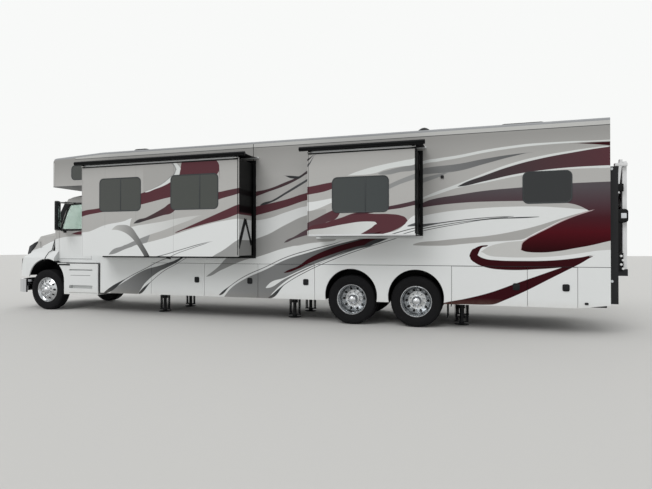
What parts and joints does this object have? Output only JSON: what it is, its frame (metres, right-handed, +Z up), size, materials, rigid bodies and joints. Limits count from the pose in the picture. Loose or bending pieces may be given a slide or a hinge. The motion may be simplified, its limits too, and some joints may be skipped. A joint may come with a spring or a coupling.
{
  "type": "motorhome",
  "caption": "Motorhome on a truck chassis: hooded cab, house body with slide-out rooms, baggage doors, tandem rear wheels, jacks and a folded rear carrier.",
  "frame": {"origin": "on the ground, under the centre of the object's box", "axes": "+X forward, +Y to the vehicle's left, +Z up"},
  "size_m": [14.09, 4.1658, 4.205],
  "materials": {
    "body_paint": "two-coat gloss paint with grey, white and dark red sweeps",
    "frame_paint": "black chassis enamel",
    "engine_metal": "painted casting",
    "jack_metal": "black enamel with bare steel legs",
    "tinted_glass": "dark tinted safety glass",
    "cab_glass": "lightly tinted safety glass",
    "cab_trim": "grained dark grey trim",
    "chrome_trim": "bright plating",
    "underbody": "dark grey undercoat",
    "roof_skin": "grey moulded roof sheet",
    "roof_plastic": "dark moulded covers",
    "black_rubber": "extruded seal rubber",
    "awning_metal": "dark coated extrusion",
    "carrier_black": "black powder coat",
    "carrier_white": "white powder coat",
    "lamp_lens": "clear lamp cover",
    "tyre_rubber": "worn road tyre",
    "polished_aluminium": "polished forged wheel"
  },
  "bodies": {
    "root": {"chassis_frame": "frame_paint", "front_axle": "frame_paint", "rear_axles": "frame_paint", "powertrain": "engine_metal", "levelling_jacks": "jack_metal", "cab_shell": "body_paint", "fixed_glass": "tinted_glass", "cab_interior": "cab_trim", "front_bumper": "chrome_trim", "step_fairings": "body_paint", "house_floor": "underbody", "wall_left": "body_paint", "wall_right": "body_paint", "house_front": "body_paint", "rear_cap": "body_paint", "house_roof": "roof_skin", "skirts": "body_paint", "basement": "underbody", "seals_and_flaps": "black_rubber", "roof_units": "roof_plastic", "patio_awning": "awning_metal", "carrier_mast": "carrier_black", "rear_lamps": "lamp_lens"},
    "slide_long": {"slide_long": "body_paint", "slide_long_windows": "tinted_glass"},
    "slide_short": {"slide_short": "body_paint", "slide_short_windows": "tinted_glass"},
    "slide_right": {"slide_right": "body_paint", "slide_right_windows": "tinted_glass"},
    "cab_door_left": {"cab_door_left": "body_paint", "cab_door_left_glass": "cab_glass"},
    "cab_door_right": {"cab_door_right": "body_paint", "cab_door_right_glass": "cab_glass"},
    "hood": {"hood": "body_paint", "grille": "chrome_trim", "headlamps": "lamp_lens"},
    "entry_door": {"entry_door": "body_paint"},
    "carrier_deck": {"carrier_deck": "carrier_white"},
    "knuckle_left": {"knuckle_left": "frame_paint"},
    "knuckle_right": {"knuckle_right": "frame_paint"},
    "bay_door_left_1": {"bay_door_left_1": "body_paint"},
    "bay_door_left_2": {"bay_door_left_2": "body_paint"},
    "bay_door_left_3": {"bay_door_left_3": "body_paint"},
    "bay_door_left_4": {"bay_door_left_4": "body_paint"},
    "bay_door_left_5": {"bay_door_left_5": "body_paint"},
    "bay_door_right_1": {"bay_door_right_1": "body_paint"},
    "bay_door_right_2": {"bay_door_right_2": "body_paint"},
    "wheel_front_left": {"tyre_front_left": "tyre_rubber", "rim_front_left": "polished_aluminium"},
    "wheels_mid_left": {"tyres_mid_left": "tyre_rubber", "rims_mid_left": "polished_aluminium"},
    "wheels_rear_left": {"tyres_rear_left": "tyre_rubber", "rims_rear_left": "polished_aluminium"},
    "wheel_front_right": {"tyre_front_right": "tyre_rubber", "rim_front_right": "polished_aluminium"},
    "wheels_mid_right": {"tyres_mid_right": "tyre_rubber", "rims_mid_right": "polished_aluminium"},
    "wheels_rear_right": {"tyres_rear_right": "tyre_rubber", "rims_rear_right": "polished_aluminium"}
  },
  "joints": [
    {"name": "slide_long_travel", "type": "slide", "parent": "root", "child": "slide_long", "axis": [0, 1, 0], "range_m": [-0.655, 0]},
    {"name": "slide_short_travel", "type": "slide", "parent": "root", "child": "slide_short", "axis": [0, 1, 0], "range_m": [-0.655, 0]},
    {"name": "slide_right_travel", "type": "slide", "parent": "root", "child": "slide_right", "axis": [0, -1, 0], "range_m": [-0.655, 0]},
    {"name": "bay_door_left_1_hinge", "type": "hinge", "parent": "root", "child": "bay_door_left_1", "pos_m": [2.685, 1.269, 0.845], "axis": [0, 0, -1], "range_deg": [0, 90]},
    {"name": "bay_door_left_2_hinge", "type": "hinge", "parent": "root", "child": "bay_door_left_2", "pos_m": [1.295, 1.269, 0.845], "axis": [0, 0, -1], "range_deg": [0, 90]},
    {"name": "bay_door_left_3_hinge", "type": "hinge", "parent": "root", "child": "bay_door_left_3", "pos_m": [-0.005, 1.269, 0.845], "axis": [0, 0, -1], "range_deg": [0, 90]},
    {"name": "bay_door_left_4_hinge", "type": "hinge", "parent": "root", "child": "bay_door_left_4", "pos_m": [-4.035, 1.269, 0.845], "axis": [0, 0, -1], "range_deg": [0, 90]},
    {"name": "bay_door_left_5_hinge", "type": "hinge", "parent": "root", "child": "bay_door_left_5", "pos_m": [-5.375, 1.269, 0.845], "axis": [0, 0, -1], "range_deg": [0, 90]},
    {"name": "cab_door_left_hinge", "type": "hinge", "parent": "root", "child": "cab_door_left", "pos_m": [5.595, 1.037, 1.9], "axis": [0, 0, -1], "range_deg": [0, 70]},
    {"name": "bay_door_right_1_hinge", "type": "hinge", "parent": "root", "child": "bay_door_right_1", "pos_m": [2.955, -1.269, 0.845], "axis": [0, 0, 1], "range_deg": [0, 90]},
    {"name": "bay_door_right_2_hinge", "type": "hinge", "parent": "root", "child": "bay_door_right_2", "pos_m": [0.855, -1.269, 0.845], "axis": [0, 0, 1], "range_deg": [0, 90]},
    {"name": "cab_door_right_hinge", "type": "hinge", "parent": "root", "child": "cab_door_right", "pos_m": [5.595, -1.037, 1.9], "axis": [0, 0, 1], "range_deg": [0, 70]},
    {"name": "entry_door_hinge", "type": "hinge", "parent": "root", "child": "entry_door", "pos_m": [3.801, -1.269, 1.9], "axis": [0, 0, 1], "range_deg": [0, 95]},
    {"name": "hood_tilt", "type": "hinge", "parent": "root", "child": "hood", "pos_m": [6.885, 0, 0.8], "axis": [0, 1, 0], "range_deg": [0, 62]},
    {"name": "carrier_fold", "type": "hinge", "parent": "root", "child": "carrier_deck", "pos_m": [-7.01, 0, 1.12], "axis": [0, -1, 0], "range_deg": [0, 90]},
    {"name": "steering_left", "type": "hinge", "parent": "root", "child": "knuckle_left", "pos_m": [5.865, 0.87, 0.505], "axis": [0, 0, 1], "range_deg": [-40, 40]},
    {"name": "steering_right", "type": "hinge", "parent": "root", "child": "knuckle_right", "pos_m": [5.865, -0.87, 0.505], "axis": [0, 0, 1], "range_deg": [-40, 40]},
    {"name": "wheel_front_left_spin", "type": "hinge", "parent": "knuckle_left", "child": "wheel_front_left", "pos_m": [5.865, 1.04, 0.505], "axis": [0, 1, 0], "continuous": true},
    {"name": "wheels_mid_left_spin", "type": "hinge", "parent": "root", "child": "wheels_mid_left", "pos_m": [-2.045, 0.9175, 0.505], "axis": [0, 1, 0], "continuous": true},
    {"name": "wheels_rear_left_spin", "type": "hinge", "parent": "root", "child": "wheels_rear_left", "pos_m": [-3.345, 0.9175, 0.505], "axis": [0, 1, 0], "continuous": true},
    {"name": "wheel_front_right_spin", "type": "hinge", "parent": "knuckle_right", "child": "wheel_front_right", "pos_m": [5.865, -1.04, 0.505], "axis": [0, 1, 0], "continuous": true},
    {"name": "wheels_mid_right_spin", "type": "hinge", "parent": "root", "child": "wheels_mid_right", "pos_m": [-2.045, -0.9175, 0.505], "axis": [0, 1, 0], "continuous": true},
    {"name": "wheels_rear_right_spin", "type": "hinge", "parent": "root", "child": "wheels_rear_right", "pos_m": [-3.345, -0.9175, 0.505], "axis": [0, 1, 0], "continuous": true}
  ],
  "couplings": [
    {"joint": "steering_right", "follows": "steering_left", "ratio": 1}
  ]
}
